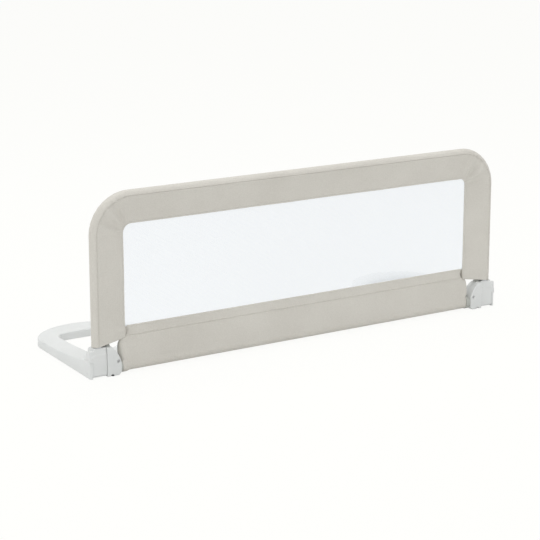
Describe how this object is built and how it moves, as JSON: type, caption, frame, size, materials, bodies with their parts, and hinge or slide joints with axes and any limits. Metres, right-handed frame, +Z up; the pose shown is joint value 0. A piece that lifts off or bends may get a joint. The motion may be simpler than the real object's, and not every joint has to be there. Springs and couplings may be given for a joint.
{
  "type": "folding bed guard rail",
  "caption": "Fabric-covered bed guard with a mesh window that folds down on hinged under-mattress feet.",
  "frame": {"origin": "on the floor, under the middle of the object's footprint", "axes": "+X along the bed, +Y from the guard towards the middle of the bed, +Z up"},
  "size_m": [1.124, 0.3625, 0.4115],
  "materials": {
    "cover_fabric": "plain woven polyester, warm light greige, sewn over thin foam",
    "net": "fine white polyester mesh",
    "steel_tube": "powder-coated steel tube",
    "fastener": "zinc-plated steel",
    "moulded_shell": "pale grey moulded polypropylene, fine grain",
    "moulded_trim": "light grey moulded polypropylene",
    "rubber_pad": "matt dark rubber"
  },
  "bodies": {
    "base": {"left_foot": "moulded_shell", "right_foot": "moulded_shell", "left_rear_outer_pad": "rubber_pad", "left_rear_inner_pad": "rubber_pad", "left_front_pad": "rubber_pad", "right_rear_outer_pad": "rubber_pad", "right_rear_inner_pad": "rubber_pad", "right_front_pad": "rubber_pad", "left_hinge_housing": "moulded_shell", "right_hinge_housing": "moulded_shell", "left_housing_screw": "fastener", "right_housing_screw": "fastener", "left_hinge_pin": "fastener", "right_hinge_pin": "fastener", "left_pin_cap": "moulded_shell", "right_pin_cap": "moulded_shell", "left_crossbar_collar": "moulded_trim", "right_crossbar_collar": "moulded_trim", "left_button_spring": "fastener", "right_button_spring": "fastener", "crossbar": "steel_tube"},
    "guard": {"cover_sleeve": "cover_fabric", "lower_panel": "cover_fabric", "window_net": "net", "left_frame_tube": "steel_tube", "right_frame_tube": "steel_tube", "frame_joiner": "steel_tube", "left_snap_button": "fastener", "right_snap_button": "fastener", "left_leg_knuckle": "moulded_shell", "right_leg_knuckle": "moulded_shell", "left_leg_screw": "fastener", "right_leg_screw": "fastener"},
    "left_button": {"left_release_button": "moulded_trim"},
    "right_button": {"right_release_button": "moulded_trim"}
  },
  "joints": [
    {"name": "guard_fold", "type": "hinge", "parent": "base", "child": "guard", "pos_m": [0, -0.165, 0.0195], "axis": [1, 0, 0], "range_deg": [0, 180]},
    {"name": "left_button_press", "type": "slide", "parent": "base", "child": "left_button", "axis": [0, 0, -1], "range_m": [0, 0.004], "stiffness_N_per_m": 900, "springref_m": -0.001, "deforming": ["left_button_spring"]},
    {"name": "right_button_press", "type": "slide", "parent": "base", "child": "right_button", "axis": [0, 0, -1], "range_m": [0, 0.004], "stiffness_N_per_m": 900, "springref_m": -0.001, "deforming": ["right_button_spring"]}
  ]
}
